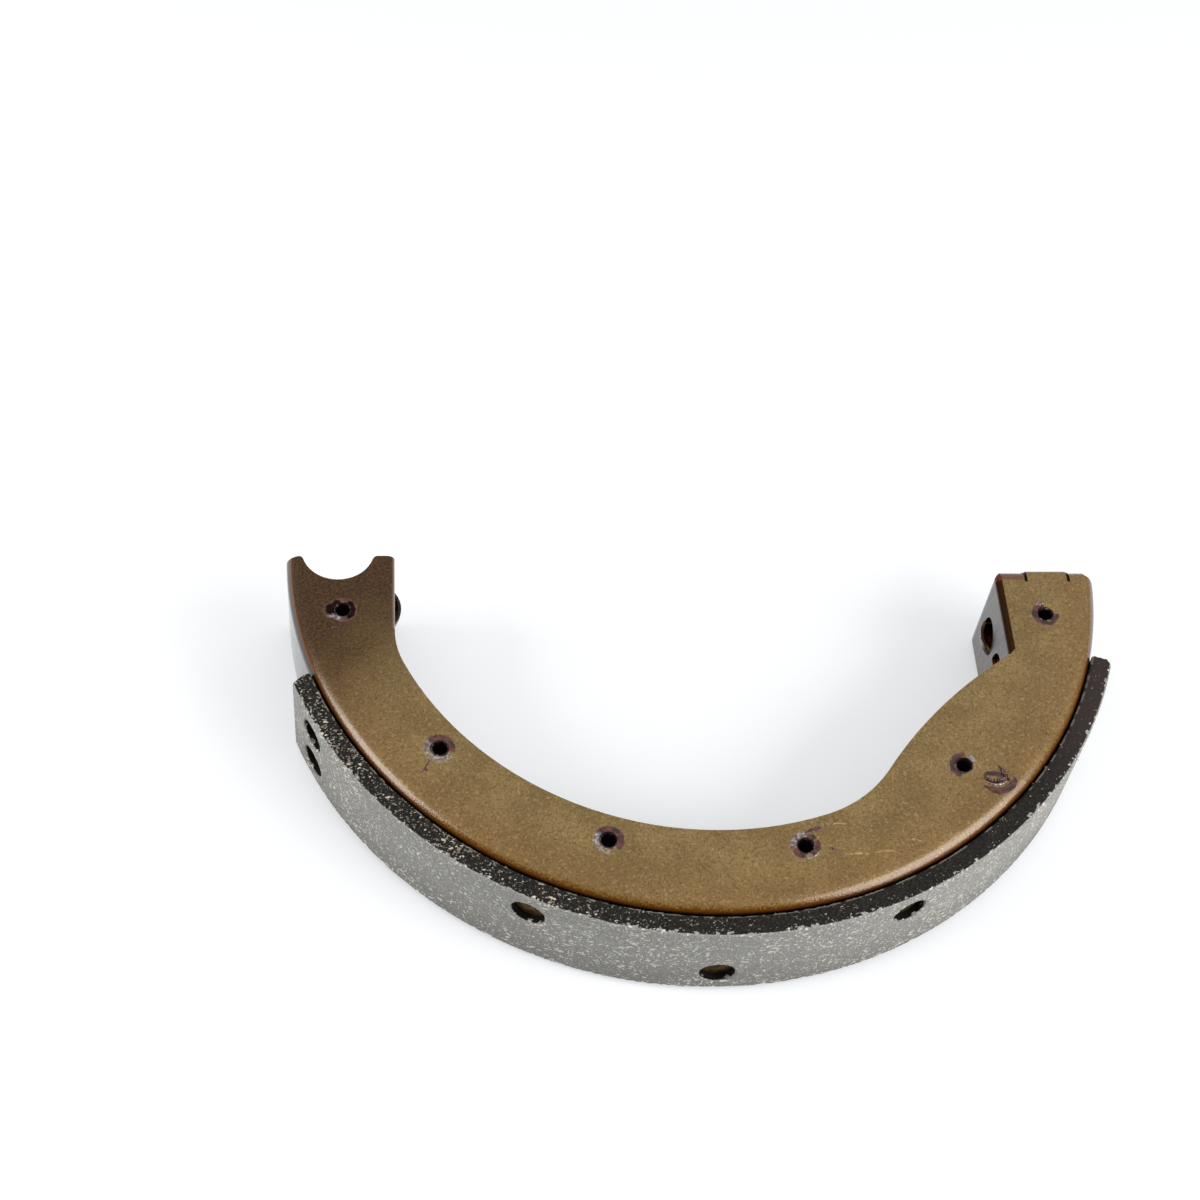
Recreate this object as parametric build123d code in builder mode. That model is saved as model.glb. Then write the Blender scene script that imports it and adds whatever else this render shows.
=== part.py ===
"""Drum brake shoe of pressed steel with a riveted friction lining.

Two pressed half shells butt edge to edge on the middle plane and are held together by six
tubular tie rivets. The lining is riveted to the rim that the two shells form.

Frame: the drum turns about the Z axis, the lower web lies on Z = 0, the lining faces -Y,
the pivot end is at -X and the cam end at +X. Lengths are in millimetres, angles in degrees.
"""
from build123d import *
from math import cos, degrees, radians, sin, sqrt
import os

# ---- drum and lining ---------------------------------------------------------------------
drum_radius = 101.6          # an 8 inch drum
lining_thickness = 4.8
lining_width = 25.4
lining_start_angle = -159.3  # the end towards the pivot
lining_end_angle = -18.0     # the end towards the cam
lining_seat_gap = 0.05       # between the lining and the rim
pivot_chamfer = (2.9, 1.3)   # down the end of the lining, and along its face
cam_chamfer = (1.2, 1.2)

# ---- half shells -------------------------------------------------------------------------
shoe_width = 28.6            # over the two webs
sheet = 2.0
rim_bend_radius = 4.0        # outside of the bend from web to rim
tight_bend_radius = 1.8      # outside of the bends at the cam face and the inner walls
web_width = 20.05            # from the rim to the web's inner edge

# ---- pivot end ---------------------------------------------------------------------------
pivot_inset = 12.15          # from the rim
pivot_y = -1.0
notch_radius = 8.5
tip_y = -2.7
tip_round = 1.3
pivot_wall_inset = 5.3       # from the circle of the web's inner edge
pivot_wall_end_y = -23.5
pivot_blend_radius = 20.0

# ---- cam end -----------------------------------------------------------------------------
cam_face_y = -6.0
cam_wall_inset = 4.9         # from the circle of the web's inner edge
cam_wall_end_y = -30.6
cam_inner_corner = 3.0
cam_outer_corner = 5.0
tab_offset = 7.3             # of the inner relief slot from the inner wall
tab_width = 10.4             # between the centres of the relief slots
relief_slot_width = 0.75
relief_slot_end_y = -9.8
relief_slot_depth = 4.0      # from the top of the tab
ear_bend_radius = 2.9        # outside of the bend of the ears beside the tab

# ---- swell of the web's inner edge towards the cam end: (depth inside its circle, angle) ----
swell_start_angle = -72.0
swell_foot = (3.6, -57.8)
swell_crown = (6.97, -41.28)
swell_end = (1.61, -26.84)
swell_corner_round = 2.0

# ---- spring holes: an arch in the upper shell above a raised lip of the lower one -----------
spring_arch_half_length = 4.2
spring_arch_rise = 5.4
spring_lip_half_length = 4.7
spring_lip_height = 1.6
spring_lip_thickness = 0.7
pivot_spring_y = -7.9
cam_spring_y = -16.0
seam_arch_half_length = 3.6  # of the plain arch beyond the spring hole of the cam end
seam_arch_rise = 6.0
seam_arch_y = -26.3

# ---- tie rivets --------------------------------------------------------------------------
tie_circle_inset = 13.95     # from the rim
tie_first_angle = -138.0
tie_pitch_angle = 30.3
tie_on_circle = 4
pivot_tie_inset = 11.45
pivot_tie_angle = -167.8
cam_tie_inset = 12.4
cam_tie_angle = -13.2
tie_tube_radius = 2.35
tie_bore_radius = 1.8
tie_flange_radius = 2.85
tie_flange_thickness = 0.5
tie_lip_height = 0.25
tie_lip_radius = 2.3
tie_hole_clearance = 0.1
dimple_depth = 0.8
dimple_floor_radius = 2.95
dimple_mouth_radius = 3.4

# ---- lining rivets -----------------------------------------------------------------------
rivet_row_inset = 7.1        # of each row from the edge of the lining
rivet_middle_angle = -90.5
rivet_single_pitch = 24.5
rivet_end_inset = 6.7        # of the end pairs from the ends of the lining
rivet_shank_radius = 2.35
rivet_bore_radius = 1.5
rivet_bore_depth = 3.6
rivet_head_radius = 3.65
rivet_head_thickness = 0.9
rivet_clinch_radius = 3.3
rivet_clinch_thickness = 0.7
rivet_hole_clearance = 0.08
counterbore_radius = 4.0
counterbore_depth = 2.9
rivet_dish_depth = 0.25
rivet_dish_radius = 2.0

# ---- worked out from the sizes above -------------------------------------------------------
mid_z = shoe_width / 2
half_width = shoe_width / 2
rim_radius = drum_radius - lining_thickness - lining_seat_gap
rim_inner_radius = rim_radius - sheet
web_inner_radius = rim_radius - web_width
pivot_x = pivot_inset - rim_radius
pivot_wall_x = pivot_wall_inset - web_inner_radius
cam_wall_x = web_inner_radius - cam_wall_inset
tab_start_x = cam_wall_x + tab_offset
lip_radius = (spring_lip_half_length**2 + spring_lip_height**2) / (2 * spring_lip_height)
cavity_height = half_width - sheet
rivet_row_offset = lining_width / 2 - rivet_row_inset   # of each row from the middle plane
mid_plane = Plane.XY.offset(mid_z)
wall_overrun_y = cam_wall_end_y - rim_bend_radius   # the pan's walls run on to here and are cut back
end_overrun_y = rim_bend_radius                     # and so does its pivot end
flat_margin = 1.0                                   # keeps cuts inside the flat of the web


def polar(radius, angle):
    """The point at this radius and angle about the drum's axis."""
    return (radius * cos(radians(angle)), radius * sin(radians(angle)))


def on_circle(radius, y, side):
    """The point of the circle at this height; side is -1 or +1 for the sign of x."""
    return (side * sqrt(radius**2 - y**2), y)


tie_positions = [polar(rim_radius - pivot_tie_inset, pivot_tie_angle)]
for index in range(tie_on_circle):
    tie_angle = tie_first_angle + index * tie_pitch_angle
    tie_positions.append(polar(rim_radius - tie_circle_inset, tie_angle))
tie_positions.append(polar(rim_radius - cam_tie_inset, cam_tie_angle))

# Each lining rivet is (angle, row), where row is +1 in the upper shell and -1 in the lower.
# The end pairs have one rivet in each shell, and the three between them take turns.
pair_angles = (lining_start_angle + rivet_end_inset, lining_end_angle - rivet_end_inset)
lining_rivets = []
for pair_angle in pair_angles:
    lining_rivets.append((pair_angle, 1))
    lining_rivets.append((pair_angle, -1))
for step, row in ((-1, 1), (0, -1), (1, 1)):
    lining_rivets.append((rivet_middle_angle + step * rivet_single_pitch, row))
lining_rivets.sort()

# Each spring hole is (wall's x, side that the wall faces, y), and lies on the seam of its wall.
spring_holes = ((pivot_wall_x, 1, pivot_spring_y), (cam_wall_x, -1, cam_spring_y))


def rivet_z(row):
    return mid_z + row * rivet_row_offset


def rivet_axis_plane(angle, row, radius):
    """A plane square to a lining rivet, at this distance from the drum's axis."""
    x, y = polar(radius, angle)
    return Plane(origin=(x, y, rivet_z(row)), z_dir=(cos(radians(angle)), sin(radians(angle)), 0))


def near(vertices, x, y):
    """The vertex of a sketch that lies nearest to this point."""
    return vertices.sort_by_distance((x, y, mid_z))[0]


def pan_plan(radius, inset):
    """Plan of the closed pan: the rim's disc, cut back to the cam face and the two inner walls."""
    Circle(radius)
    wall_span = cam_wall_x - pivot_wall_x + 2 * inset
    with Locations((pivot_wall_x - inset, wall_overrun_y)):
        Rectangle(wall_span, drum_radius * 2, align=(Align.MIN, Align.MIN), mode=Mode.SUBTRACT)
    with Locations((0, cam_face_y - inset)):
        Rectangle(drum_radius, drum_radius, align=(Align.MIN, Align.MIN), mode=Mode.SUBTRACT)
    with Locations((-drum_radius, end_overrun_y)):
        Rectangle(drum_radius, drum_radius, align=(Align.MIN, Align.MIN), mode=Mode.SUBTRACT)


def round_cam_corners(plan, radius, inset):
    """Round the two upright corners of the cam end, keeping the sheet's thickness round them."""
    outer = on_circle(radius, cam_face_y - inset, 1)
    fillet(near(plan.vertices(), *outer), cam_outer_corner - inset)
    inner = near(plan.vertices(), cam_wall_x + inset, cam_face_y - inset)
    fillet(inner, cam_inner_corner - inset)


def inner_wall_plane(wall_x, side, y):
    """A plane on the outside of an inner wall, its x along the seam and its y up or down."""
    return Plane(origin=(wall_x, y, mid_z), x_dir=(0, 1, 0), z_dir=(side, 0, 0))


def cap_profile(height, depth):
    """Half outline of a lip's round cap, of this height over the wall, on a neck into the wall."""
    neck_radius = sqrt(lip_radius**2 - (lip_radius - height) ** 2)
    with Locations((height - lip_radius, 0)):
        Circle(lip_radius)
    Rectangle(height, lip_radius, align=(Align.MIN, Align.MIN), mode=Mode.INTERSECT)
    Rectangle(depth, neck_radius, align=(Align.MAX, Align.MIN))


def rim_disc(radius, height, bend):
    """The round of the rim with the bend into the web, before any end is cut."""
    with Locations((0, 0, mid_z)):
        Cylinder(radius, height, align=(Align.CENTER, Align.CENTER, Align.MIN))
    fillet(edges().sort_by(Axis.Z)[-1], bend)


# ---- blank of the half shells: the upper one, before its lining rivet holes ------------------
with BuildPart() as cavity:
    rim_disc(rim_inner_radius, cavity_height, rim_bend_radius - sheet)
    with BuildSketch(mid_plane) as cavity_plan:
        pan_plan(rim_inner_radius, sheet)
        round_cam_corners(cavity_plan, rim_inner_radius, sheet)
    extrude(amount=cavity_height, mode=Mode.INTERSECT)
    with BuildSketch(mid_plane):
        Circle(rim_radius - rim_bend_radius - flat_margin)
        with Locations((0, cam_wall_end_y)):
            Rectangle(drum_radius, drum_radius * 2, align=(Align.MIN, Align.MIN), mode=Mode.SUBTRACT)
        with Locations((0, pivot_wall_end_y)):
            Rectangle(drum_radius, drum_radius * 2, align=(Align.MAX, Align.MIN), mode=Mode.SUBTRACT)
    extrude(amount=cavity_height)

with BuildPart() as pan:
    with BuildSketch(mid_plane) as outer_plan:
        pan_plan(rim_radius, 0)
        round_cam_corners(outer_plan, rim_radius, 0)
    extrude(amount=half_width)
    fillet(pan.faces().sort_by(Axis.Z)[-1].edges(), tight_bend_radius)

with BuildPart() as half_blank:
    rim_disc(rim_radius, half_width, rim_bend_radius)
    add(pan.part, mode=Mode.INTERSECT)
    # The web runs on flat below the walls' ends.
    with BuildSketch(mid_plane.offset(cavity_height)):
        Circle(rim_radius - rim_bend_radius - flat_margin)
        with BuildLine():
            Polyline(
                (-drum_radius, drum_radius),
                (-drum_radius, pivot_wall_end_y + tight_bend_radius),
                (pivot_wall_x - tight_bend_radius, pivot_wall_end_y + tight_bend_radius),
                (pivot_wall_x, pivot_wall_end_y),
                (0, pivot_wall_end_y),
                (0, cam_wall_end_y),
                (cam_wall_x, cam_wall_end_y),
                (cam_wall_x + tight_bend_radius, cam_wall_end_y + tight_bend_radius),
                (drum_radius, cam_wall_end_y + tight_bend_radius),
                (drum_radius, drum_radius),
                close=True,
            )
        make_face(mode=Mode.SUBTRACT)
    extrude(amount=sheet)
    # The ears of the cam end turn down to the cam face in a wider bend than the tab's.
    with BuildSketch(Plane.YZ):
        with Locations((cam_face_y, shoe_width)):
            Rectangle(ear_bend_radius, ear_bend_radius, align=(Align.MAX, Align.MAX))
        with Locations((cam_face_y - ear_bend_radius, shoe_width - ear_bend_radius)):
            Circle(ear_bend_radius, mode=Mode.SUBTRACT)
    extrude(amount=drum_radius, mode=Mode.SUBTRACT)
    # The tab between the two relief slots stays level with the web.
    with BuildSketch(Plane.YZ.offset(tab_start_x)) as tab_profile:
        with Locations((cam_face_y, shoe_width)):
            Rectangle(rim_bend_radius + sheet, half_width, align=(Align.MAX, Align.MAX))
        tab_edge = (cam_face_y, shoe_width, 0)
        fillet(tab_profile.vertices().sort_by_distance(tab_edge)[0], tight_bend_radius)
    extrude(amount=tab_width)
    add(cavity.part, mode=Mode.SUBTRACT)
    # The web's inner edge: an arc about the drum's axis, then the swell towards the cam end.
    with BuildSketch(mid_plane) as inner_plan:
        with BuildLine():
            wall_foot = (pivot_wall_x, -sqrt(web_inner_radius**2 - pivot_wall_x**2))
            swell_start = polar(web_inner_radius, swell_start_angle)
            swell = (swell_foot, swell_crown, swell_end)
            foot, crown, crown_end = [polar(web_inner_radius - depth, angle) for depth, angle in swell]
            inner_arc = ThreePointArc(wall_foot, (0, -web_inner_radius), swell_start)
            TangentArc(swell_start, foot, tangent=inner_arc % 1)
            crown_arc = ThreePointArc(foot, crown, crown_end)
            run = (cam_wall_x - crown_end[0]) / (crown_arc % 1).X
            wall_meets = (cam_wall_x, crown_end[1] + run * (crown_arc % 1).Y)
            Polyline(crown_end, wall_meets, (cam_wall_x, 0), (pivot_wall_x, 0), wall_foot)
        make_face()
        fillet(near(inner_plan.vertices(), *wall_meets), swell_corner_round)
        fillet(near(inner_plan.vertices(), *wall_foot), pivot_blend_radius)
    extrude(amount=half_width, mode=Mode.SUBTRACT)
    # Relief slots at both sides of the tab, through the bend.
    with BuildSketch(mid_plane.offset(half_width)):
        for slot_x in (tab_start_x, tab_start_x + tab_width):
            with Locations((slot_x, relief_slot_end_y)):
                Rectangle(relief_slot_width, rim_bend_radius + sheet, align=(Align.CENTER, Align.MIN))
    extrude(amount=-relief_slot_depth, mode=Mode.SUBTRACT)
    # The pivot end: trimmed straight, with a round notch that sits on the pivot stud.
    with BuildSketch(mid_plane) as trim_plan:
        with Locations((pivot_x, tip_y)):
            Rectangle(drum_radius / 2, drum_radius / 2, align=(Align.CENTER, Align.MIN))
        with Locations((pivot_x, pivot_y)):
            Circle(notch_radius)
        notch_reach = sqrt(notch_radius**2 - (tip_y - pivot_y) ** 2)
        notch_ends = [near(trim_plan.vertices(), pivot_x + side * notch_reach, tip_y) for side in (-1, 1)]
        fillet(notch_ends, tip_round)
    extrude(amount=half_width, mode=Mode.SUBTRACT)
    # Dimples of the tie rivets, pressed into the web, with the metal pushed in behind them.
    with Locations(*[Location((x, y, shoe_width - sheet)) for x, y in tie_positions]):
        Cone(
            dimple_mouth_radius, dimple_floor_radius, dimple_depth,
            rotation=(180, 0, 0), align=(Align.CENTER, Align.CENTER, Align.MIN),
        )
    with Locations(*[Location((x, y, shoe_width)) for x, y in tie_positions]):
        Cone(
            dimple_mouth_radius, dimple_floor_radius, dimple_depth,
            rotation=(180, 0, 0), align=(Align.CENTER, Align.CENTER, Align.MIN), mode=Mode.SUBTRACT,
        )
        Hole(tie_tube_radius + tie_hole_clearance)
    split(bisect_by=mid_plane, keep=Keep.TOP)


def export_named(part, label):
    """Name a finished piece and write it."""
    part.label = label
    export_step(part, f"parts/{label}.step")


os.makedirs("parts", exist_ok=True)

# ---- the two half shells -----------------------------------------------------------------
with BuildPart() as shell_upper:
    add(half_blank.part)
    # The arches of the spring holes, and the smaller arch of the cam end's inner wall. The cuts go
    # deeper than the wall, because the cam end's corner curves away behind it.
    for wall_x, side, y in spring_holes:
        with BuildSketch(inner_wall_plane(wall_x, side, y)):
            Ellipse(spring_arch_half_length, spring_arch_rise)
        extrude(amount=-2 * sheet, mode=Mode.SUBTRACT)
    with BuildSketch(inner_wall_plane(cam_wall_x, -1, seam_arch_y)):
        Ellipse(seam_arch_half_length, seam_arch_rise)
    extrude(amount=-2 * sheet, mode=Mode.SUBTRACT)
    for angle, row in lining_rivets:
        if row > 0:
            with BuildSketch(rivet_axis_plane(angle, row, rim_inner_radius - sheet)):
                Circle(rivet_shank_radius + rivet_hole_clearance)
            extrude(amount=2 * sheet + lining_seat_gap, mode=Mode.SUBTRACT)
export_named(shell_upper.part, "shell_upper")

with BuildPart() as lips:
    for wall_x, side, y in spring_holes:
        with BuildSketch(Plane(origin=(wall_x, y, mid_z), x_dir=(side, 0, 0), z_dir=(0, 0, 1))):
            cap_profile(spring_lip_height, sheet / 2)
        revolve(axis=Axis((wall_x, y, mid_z), (side, 0, 0)))
    split(bisect_by=mid_plane, keep=Keep.BOTTOM)

with BuildPart() as lip_pockets:
    for wall_x, side, y in spring_holes:
        with BuildSketch(Plane(origin=(wall_x, y, mid_z), x_dir=(side, 0, 0), z_dir=(0, 0, 1))):
            cap_profile(spring_lip_height - spring_lip_thickness, 2 * sheet)
        revolve(axis=Axis((wall_x, y, mid_z), (side, 0, 0)))

with BuildPart() as shell_lower:
    mirror(half_blank.part, about=mid_plane)
    add(lips.part)
    add(lip_pockets.part, mode=Mode.SUBTRACT)
    for angle, row in lining_rivets:
        if row < 0:
            with BuildSketch(rivet_axis_plane(angle, row, rim_inner_radius - sheet)):
                Circle(rivet_shank_radius + rivet_hole_clearance)
            extrude(amount=2 * sheet + lining_seat_gap, mode=Mode.SUBTRACT)
export_named(shell_lower.part, "shell_lower")

# ---- lining --------------------------------------------------------------------------------
with BuildPart() as lining:
    with BuildSketch(mid_plane.offset(-lining_width / 2)):
        with BuildLine():
            lining_inner_radius = drum_radius - lining_thickness
            middle_angle = (lining_start_angle + lining_end_angle) / 2
            outer_face = ThreePointArc(
                polar(drum_radius, lining_start_angle + degrees(pivot_chamfer[1] / drum_radius)),
                polar(drum_radius, middle_angle),
                polar(drum_radius, lining_end_angle - degrees(cam_chamfer[1] / drum_radius)),
            )
            seat_face = ThreePointArc(
                polar(lining_inner_radius, lining_start_angle),
                polar(lining_inner_radius, middle_angle),
                polar(lining_inner_radius, lining_end_angle),
            )
            pivot_corner = polar(drum_radius - pivot_chamfer[0], lining_start_angle)
            cam_corner = polar(drum_radius - cam_chamfer[0], lining_end_angle)
            Polyline(outer_face @ 0, pivot_corner, seat_face @ 0)
            Polyline(outer_face @ 1, cam_corner, seat_face @ 1)
        make_face()
    extrude(amount=lining_width)
    for angle, row in lining_rivets:
        with Locations(rivet_axis_plane(angle, row, drum_radius)):
            CounterBoreHole(
                radius=rivet_shank_radius + rivet_hole_clearance,
                counter_bore_radius=counterbore_radius,
                counter_bore_depth=counterbore_depth,
                depth=2 * lining_thickness,
            )
export_named(lining.part, "lining")

# ---- tie rivets: tubes with both ends flared into the dimples --------------------------------
for index, (tie_x, tie_y) in enumerate(tie_positions):
    with BuildPart() as tie_rivet:
        with BuildSketch(Plane(origin=(tie_x, tie_y, 0), x_dir=(1, 0, 0), z_dir=(0, -1, 0))):
            seat_z = dimple_depth
            flange_z = seat_z - tie_flange_thickness
            lip_z = flange_z - tie_lip_height
            with BuildLine():
                Polyline(
                    (tie_bore_radius, mid_z),
                    (tie_bore_radius, lip_z),
                    (tie_lip_radius, flange_z),
                    (tie_flange_radius, flange_z),
                    (tie_flange_radius, seat_z),
                    (tie_tube_radius, seat_z),
                    (tie_tube_radius, mid_z),
                    (tie_bore_radius, mid_z),
                )
            make_face()
        revolve(axis=Axis((tie_x, tie_y, 0), (0, 0, 1)))
        mirror(about=mid_plane)
    export_named(tie_rivet.part, f"tie_rivet_{index + 1}")

# ---- lining rivets: flat heads in the counterbores, clinched inside the rim ---------------------
head_seat = drum_radius - counterbore_depth
clinch_seat = sqrt(rim_inner_radius**2 - rivet_clinch_radius**2)
for index, (angle, row) in enumerate(lining_rivets):
    axis_x, axis_y = cos(radians(angle)), sin(radians(angle))
    half_plane = Plane(origin=(0, 0, rivet_z(row)), x_dir=(axis_x, axis_y, 0), z_dir=(-axis_y, axis_x, 0))
    with BuildPart() as lining_rivet:
        with BuildSketch(half_plane):
            with BuildLine():
                Polyline(
                    (clinch_seat - rivet_clinch_thickness, rivet_bore_radius),
                    (clinch_seat - rivet_clinch_thickness, rivet_clinch_radius),
                    (clinch_seat, rivet_clinch_radius),
                    (clinch_seat, rivet_shank_radius),
                    (head_seat, rivet_shank_radius),
                    (head_seat, rivet_head_radius),
                    (head_seat + rivet_head_thickness, rivet_head_radius),
                    (head_seat + rivet_head_thickness, rivet_dish_radius),
                    (head_seat + rivet_head_thickness - rivet_dish_depth, 0),
                    (clinch_seat - rivet_clinch_thickness + rivet_bore_depth, 0),
                    (clinch_seat - rivet_clinch_thickness + rivet_bore_depth, rivet_bore_radius),
                    close=True,
                )
            make_face()
        revolve(axis=Axis((0, 0, rivet_z(row)), (axis_x, axis_y, 0)))
    export_named(lining_rivet.part, f"lining_rivet_{index + 1}")
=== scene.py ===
"""The looks of the drum brake shoe: its finishes, dried paint, worn lining, floor, lights, camera.

Metres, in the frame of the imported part: the drum's axis is Z through the origin, the lower web
rests on the floor at z = 0, the lining faces -Y, and the upper web faces +Z.
"""
import math

import bmesh
import bpy
from mathutils import Matrix, Vector, noise


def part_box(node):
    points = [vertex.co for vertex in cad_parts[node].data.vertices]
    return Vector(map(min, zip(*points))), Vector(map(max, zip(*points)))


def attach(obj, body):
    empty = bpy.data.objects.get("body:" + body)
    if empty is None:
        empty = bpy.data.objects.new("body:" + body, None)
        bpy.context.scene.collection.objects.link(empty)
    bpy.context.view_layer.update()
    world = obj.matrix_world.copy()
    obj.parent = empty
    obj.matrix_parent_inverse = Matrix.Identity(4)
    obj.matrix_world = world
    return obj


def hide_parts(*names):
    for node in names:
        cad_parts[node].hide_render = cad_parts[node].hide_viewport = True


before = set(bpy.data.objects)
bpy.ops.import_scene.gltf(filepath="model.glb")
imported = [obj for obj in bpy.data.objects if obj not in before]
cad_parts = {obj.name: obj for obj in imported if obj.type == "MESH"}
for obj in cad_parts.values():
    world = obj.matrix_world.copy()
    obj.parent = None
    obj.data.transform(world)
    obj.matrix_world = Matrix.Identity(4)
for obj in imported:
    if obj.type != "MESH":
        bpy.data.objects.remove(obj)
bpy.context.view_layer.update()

MM = 0.001

# ---- sizes of the part that the looks go by ------------------------------------------------------
WEB_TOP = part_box("shell_upper")[1].z
LINING_LOW, LINING_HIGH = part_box("lining")
DRUM_RADIUS = -LINING_LOW.y
LINING_THICKNESS = 4.8 * MM
LINING_INNER_RADIUS = DRUM_RADIUS - LINING_THICKNESS
CAM_FACE_Y = -6.0 * MM
CAM_WALL_X = 71.8 * MM       # outside of the inner wall at the cam end
TAB_START_X = CAM_WALL_X + 7.3 * MM
TAB_WIDTH = 10.4 * MM        # between the middles of the two relief slots
SLOT_WIDTH = 0.75 * MM
SLOT_END_Y = -9.8 * MM       # of the relief slots, in the web

# ---- camera: the place from which the shoe is seen --------------------------------------------
CAMERA_PLACE = Vector((-73.966, -316.375, 461.197)) * MM
CAMERA_AZIMUTH = 9.483       # degrees to the right of +Y
CAMERA_ELEVATION = 54.793    # degrees down
CAMERA_ROLL = 7.805
CAMERA_LENS = 68.01          # millimetres on a 36 mm sensor
SENSOR_WIDTH = 36.0


class Finish:
    """A node material, with short calls for the nodes that all finishes use."""

    def __init__(self, name):
        self.material = bpy.data.materials.new(name)
        self.material.use_nodes = True
        self.tree = self.material.node_tree
        self.shader = self.tree.nodes["Principled BSDF"]
        self.place = self.node("ShaderNodeTexCoord").outputs["Object"]

    def node(self, kind, **settings):
        made = self.tree.nodes.new(kind)
        for key, value in settings.items():
            setattr(made, key, value)
        return made

    def put(self, socket, value):
        """Links an output to a socket, or sets the socket to a plain value."""
        if isinstance(value, bpy.types.NodeSocket):
            self.tree.links.new(value, socket)
        else:
            socket.default_value = value

    def math(self, operation, first, second=0.0, clamp=False):
        made = self.node("ShaderNodeMath", operation=operation, use_clamp=clamp)
        self.put(made.inputs[0], first)
        self.put(made.inputs[1], second)
        return made.outputs[0]

    def all_of(self, *shares):
        """The product of some shares: 1 only where each of them is."""
        product = shares[0]
        for share in shares[1:]:
            product = self.math("MULTIPLY", product, share)
        return product

    def split(self, vector):
        made = self.node("ShaderNodeSeparateXYZ")
        self.put(made.inputs[0], vector)
        return made.outputs

    def radius(self):
        """Distance from the drum's axis."""
        x, y, _ = self.split(self.place)
        squares = self.math("ADD", self.math("MULTIPLY", x, x), self.math("MULTIPLY", y, y))
        return self.math("SQRT", squares)

    def levelness(self):
        """1 where a face is level, 0 where it is upright."""
        normal = self.node("ShaderNodeNewGeometry").outputs["Normal"]
        return self.math("ABSOLUTE", self.split(normal)[2])

    def mesh_value(self, name):
        return self.node("ShaderNodeAttribute", attribute_name=name).outputs["Fac"]

    def stretched(self, stretch, turn=0.0):
        """The object's coordinates, squeezed so that a texture comes out longer along an axis."""
        made = self.node("ShaderNodeMapping")
        self.put(made.inputs["Vector"], self.place)
        made.inputs["Rotation"].default_value = (0.0, 0.0, turn)
        made.inputs["Scale"].default_value = stretch
        return made.outputs["Vector"]

    def noise(self, size, detail=2.0, roughness=0.5, distortion=0.0, place=None):
        """Noise whose cells are about this size, in metres."""
        made = self.node("ShaderNodeTexNoise")
        self.put(made.inputs["Vector"], place or self.place)
        made.inputs["Scale"].default_value = 1.0 / size
        made.inputs["Detail"].default_value = detail
        made.inputs["Roughness"].default_value = roughness
        made.inputs["Distortion"].default_value = distortion
        return made.outputs["Fac"]

    def ramp(self, value, low, high, low_out=0.0, high_out=1.0):
        """Maps low..high to low_out..high_out smoothly and holds the ends."""
        made = self.node("ShaderNodeMapRange", interpolation_type="SMOOTHSTEP")
        self.put(made.inputs["Value"], value)
        for index, number in enumerate((low, high, low_out, high_out), start=1):
            self.put(made.inputs[index], number)
        return made.outputs["Result"]

    def blend(self, share, under, over):
        """over on top of under, by this share."""
        made = self.node("ShaderNodeMix", data_type="RGBA")
        self.put(made.inputs["Factor"], share)
        self.put(made.inputs["A"], under)
        self.put(made.inputs["B"], over)
        return made.outputs["Result"]

    def bump(self, height, distance):
        """The normal of a surface that a height of 1 raises by this distance."""
        made = self.node("ShaderNodeBump")
        self.put(made.inputs["Height"], height)
        made.inputs["Distance"].default_value = distance
        made.inputs["Strength"].default_value = 1.0
        return made.outputs["Normal"]

    def set(self, **sockets):
        """Sets the shader's own sockets by name, with _ for a space."""
        for name, value in sockets.items():
            self.put(self.shader.inputs[name.replace("_", " ")], value)


def colour(red, green, blue):
    """A display colour, 0 to 255 each, as the linear colour that a shader takes."""
    def linear(value):
        share = value / 255.0
        return share / 12.92 if share <= 0.04045 else ((share + 0.055) / 1.055) ** 2.4
    return (linear(red), linear(green), linear(blue), 1.0)


WEB_PAINT = colour(111, 86, 38)
WEB_PAINT_LIGHT = colour(130, 104, 56)


def web_tone(finish):
    """The paint on a level face, with its grain and painted glints: on the shells and on what was
    spilt on them.
    """
    grain = finish.noise(0.417 * MM, detail=2.0, roughness=0.6)
    painted_glint = finish.noise(0.7 * MM, detail=1.0, distortion=0.6)
    mottle = finish.noise(9 * MM, detail=3.0)
    tone = finish.blend(finish.ramp(mottle, 0.3, 0.7), WEB_PAINT, WEB_PAINT_LIGHT)
    warm = finish.math("MULTIPLY", finish.ramp(finish.radius(), 82 * MM, 94 * MM), 0.45)
    tone = finish.blend(warm, tone, colour(122, 84, 34))
    tone = finish.blend(finish.ramp(grain, 0.56, 0.32, 0.0, 0.75), tone, colour(78, 58, 20))
    # Pale specks over the grain: painted glints.
    tone = finish.blend(finish.ramp(painted_glint, 0.5, 0.8, 0.0, 0.45), tone, colour(164, 140, 92))
    return tone, grain, mottle


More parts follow.
